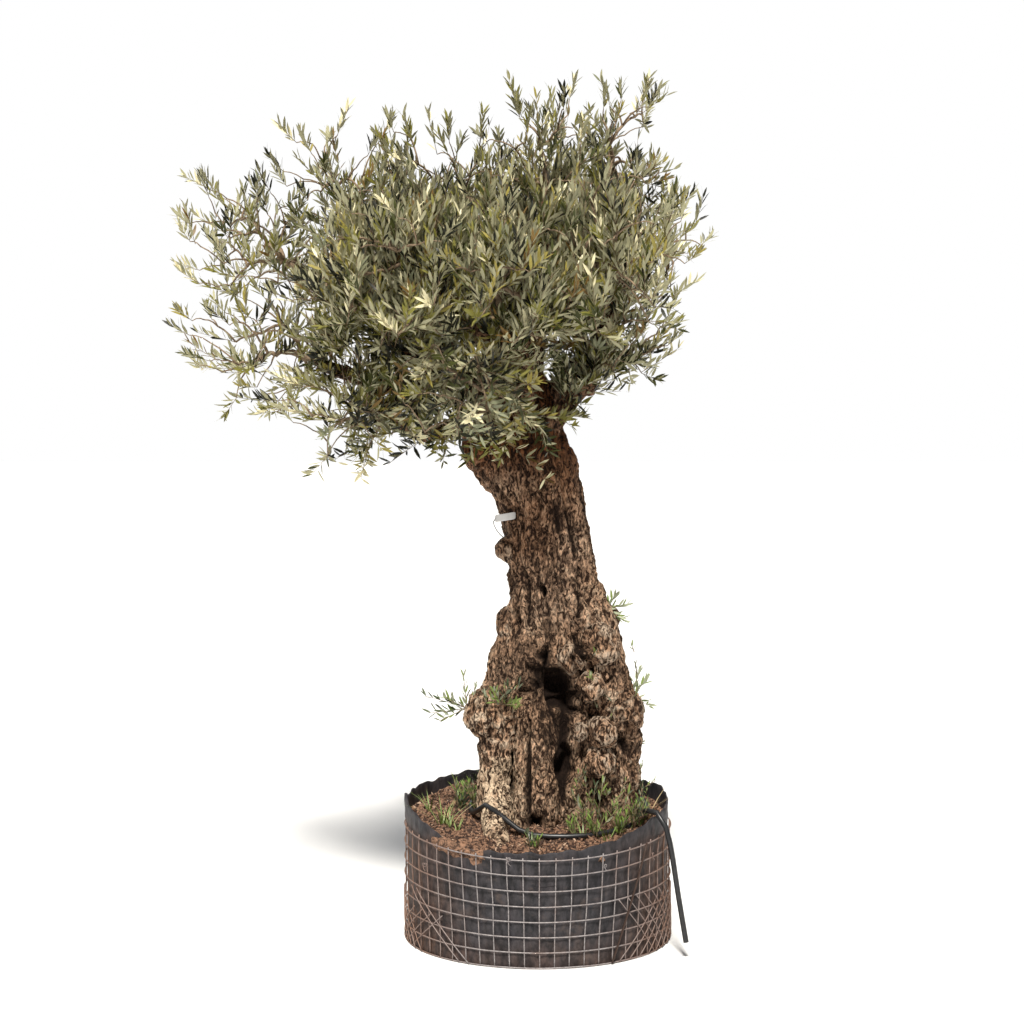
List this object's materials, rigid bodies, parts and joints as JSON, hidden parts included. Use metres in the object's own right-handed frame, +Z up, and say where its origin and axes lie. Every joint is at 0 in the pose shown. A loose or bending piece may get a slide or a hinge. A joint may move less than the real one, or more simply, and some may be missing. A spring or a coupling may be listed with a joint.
{
  "type": "potted olive tree",
  "caption": "Old olive tree grown as a large bonsai with a twisted, burled trunk and a spreading open crown, in a lined wire mesh pot with a drip hose on the soil.",
  "frame": {"origin": "centre of the pot's flat underside, on the surface it stands on", "axes": "+Z up along the trunk, -Y to the front of the tree, +X to the tree's right as seen from the front"},
  "size_m": [1.7, 1.4569, 2.6354],
  "materials": {
    "bark": "rough grey-brown bark in twisted strands",
    "leaf": "narrow grey-green leaves, paler below",
    "liner": "soft black sheet, dusty",
    "soil": "loose reddish-brown soil",
    "wire": "dull galvanised wire with rust",
    "hose": "black with a slight sheen",
    "tag": "plain white"
  },
  "bodies": {
    "root": {"trunk": "bark", "bough_left": "bark", "bough_upper_left": "bark", "bough_top": "bark", "bough_right": "bark", "bough_low_right": "bark", "bough_front": "bark", "bough_back": "bark", "bough_low_left": "bark", "bough_middle_left": "bark", "bough_high_left": "bark", "bough_top_left": "bark", "bough_top_right": "bark", "bough_front_left": "bark", "bough_front_right": "bark", "bough_back_left": "bark", "bough_back_right": "bark", "foliage_far_left_top": "leaf", "foliage_far_left_low": "leaf", "foliage_high_left": "leaf", "foliage_middle_left": "leaf", "foliage_low_left": "leaf", "foliage_top_left": "leaf", "foliage_top": "leaf", "foliage_top_right": "leaf", "foliage_right": "leaf", "foliage_low_right": "leaf", "foliage_front": "leaf", "foliage_front_left": "leaf", "foliage_front_right": "leaf", "foliage_back_left": "leaf", "foliage_back": "leaf", "foliage_back_right": "leaf", "foliage_low_middle": "leaf", "foliage_low_back": "leaf", "sprig_left_burl": "leaf", "sprig_front_burl": "leaf", "sprig_right_top": "leaf", "sprig_right_burl": "leaf", "suckers_right": "leaf", "suckers_left": "leaf", "pot_liner": "liner", "soil": "soil", "cage_uprights": "wire", "cage_hoop_1": "wire", "cage_hoop_2": "wire", "cage_hoop_3": "wire", "cage_hoop_4": "wire", "cage_hoop_5": "wire", "cage_hoop_6": "wire", "cage_hoop_7": "wire", "drip_hose": "hose", "nursery_tag": "tag"}
  },
  "joints": []
}
